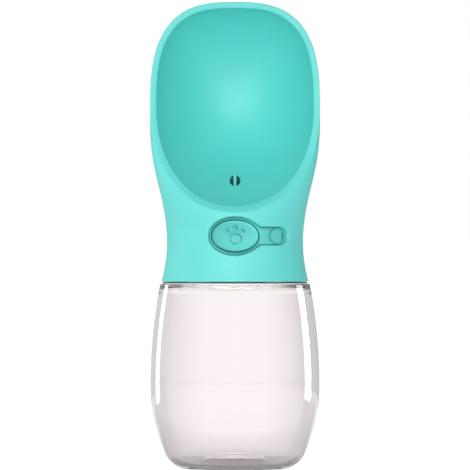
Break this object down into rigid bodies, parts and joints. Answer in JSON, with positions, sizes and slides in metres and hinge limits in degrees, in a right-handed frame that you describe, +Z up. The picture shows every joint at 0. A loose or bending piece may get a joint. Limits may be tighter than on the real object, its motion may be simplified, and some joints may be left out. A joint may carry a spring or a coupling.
{
  "type": "dog travel water bottle",
  "caption": "Clear travel water bottle with a screw-on teal head shaped as a drinking scoop, with a push button that opens a sprung valve and a sliding catch.",
  "frame": {"origin": "middle of the base, on the bottle's axis, on the surface that it stands on", "axes": "+Z up along the bottle's axis; the scoop's opening and the button face -Y; +X is to the right of someone facing the button"},
  "size_m": [0.08, 0.0794, 0.22],
  "materials": {
    "clear_plastic": "clear glossy moulded plastic",
    "teal_plastic": "satin moulded plastic",
    "teal_button": "satin moulded plastic",
    "seam_rubber": "soft matt ring",
    "white_plastic": "matt moulded plastic",
    "silicone": "translucent silicone",
    "black_rubber": "rubber O-ring",
    "screw_steel": "stainless",
    "spring_steel": "stainless wire"
  },
  "bodies": {
    "bottle": {"bottle": "clear_plastic"},
    "seal_ring": {"shoulder_seal": "seam_rubber"},
    "head": {"head_shell": "teal_plastic", "button_bezel": "teal_plastic", "base_plate": "white_plastic", "base_screws": "screw_steel", "neck_gasket": "silicone", "valve_housing": "white_plastic", "gland_cap": "white_plastic", "stem_seal": "black_rubber", "end_cap": "white_plastic", "end_cap_ring": "black_rubber", "inlet_seal": "silicone", "outlet_seal": "silicone", "return_spring": "spring_steel"},
    "button": {"button": "teal_button", "valve_plunger": "white_plastic", "piston_ring": "black_rubber", "seat_seal": "silicone"},
    "catch": {"lock_knob": "teal_button", "lock_plate": "white_plastic"}
  },
  "joints": [
    {"name": "head_turn", "type": "hinge", "parent": "bottle", "child": "seal_ring", "pos_m": [0, 0, 0.0873], "axis": [0, 0, 1], "range_deg": [0, 1440]},
    {"name": "head_lift", "type": "slide", "parent": "seal_ring", "child": "head", "axis": [0, 0, 1], "range_m": [0, 0.016]},
    {"name": "button_press", "type": "slide", "parent": "head", "child": "button", "axis": [0, 1, 0], "range_m": [0, 0.003], "stiffness_N_per_m": 300, "deforming": ["return_spring"]},
    {"name": "catch_slide", "type": "hinge", "parent": "head", "child": "catch", "pos_m": [0, 0, 0.1097], "axis": [0, 0, 1], "range_deg": [0, 7]}
  ],
  "couplings": [
    {"joint": "head_lift", "follows": "head_turn", "m_per_rad": 0.00063662}
  ]
}
